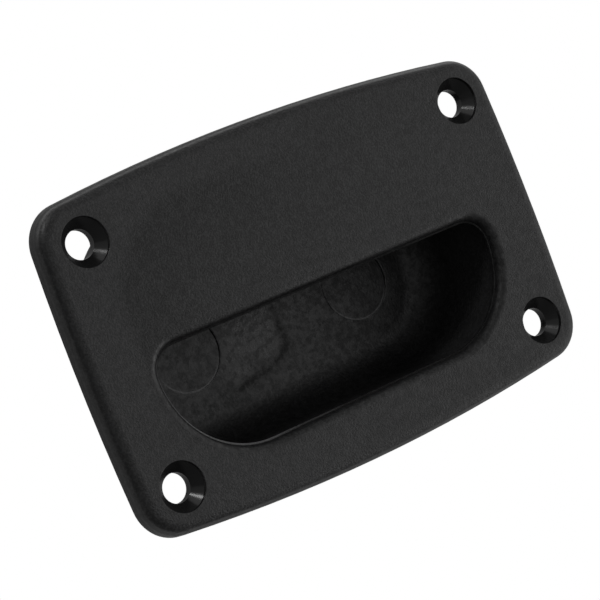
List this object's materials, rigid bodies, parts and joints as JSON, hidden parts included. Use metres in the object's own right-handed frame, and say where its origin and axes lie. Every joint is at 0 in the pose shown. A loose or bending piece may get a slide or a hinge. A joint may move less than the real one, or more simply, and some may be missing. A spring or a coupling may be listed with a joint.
{
  "type": "recessed pull handle",
  "caption": "Flush pull handle in black plastic: a flange with countersunk screw holes round a closed finger pocket whose upper edge is a lip to hook the fingers behind.",
  "frame": {"origin": "centre of the four screw holes, on the back of the flange, which is the plane of the panel", "axes": "+X along the handle, +Y towards the lip the fingers hook behind, +Z out of the panel"},
  "size_m": [0.1094, 0.0706, 0.0268],
  "materials": {
    "plastic": "fine moulded texture, matte to satin, black"
  },
  "bodies": {
    "root": {"pull_handle": "plastic"}
  },
  "joints": []
}
